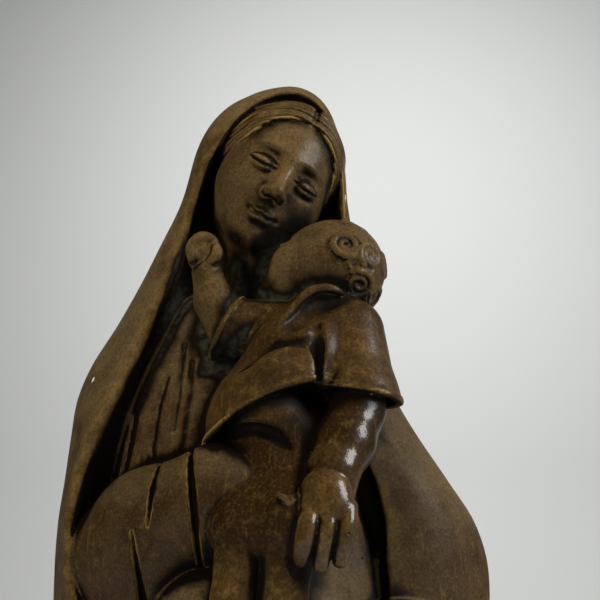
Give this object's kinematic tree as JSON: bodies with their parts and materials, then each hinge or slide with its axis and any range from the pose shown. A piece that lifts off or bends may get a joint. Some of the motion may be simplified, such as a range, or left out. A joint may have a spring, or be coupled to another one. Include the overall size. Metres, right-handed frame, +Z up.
{
  "type": "madonna and child statue",
  "caption": "Standing hooded mother in a long mantle, her head inclined to the child on her arm, cast in one piece with a low oval base.",
  "frame": {"origin": "middle of the base's underside, which is the middle of the object's extent in X and Y", "axes": "+Z up, the figures face -Y, +X is the viewer's right"},
  "size_m": [0.118, 0.0859, 0.2985],
  "materials": {
    "casting": "cast plaster with a bronze-brown varnish, dark in the hollows and rubbed to ochre on the edges"
  },
  "bodies": {
    "root": {"statue": "casting"}
  },
  "joints": []
}
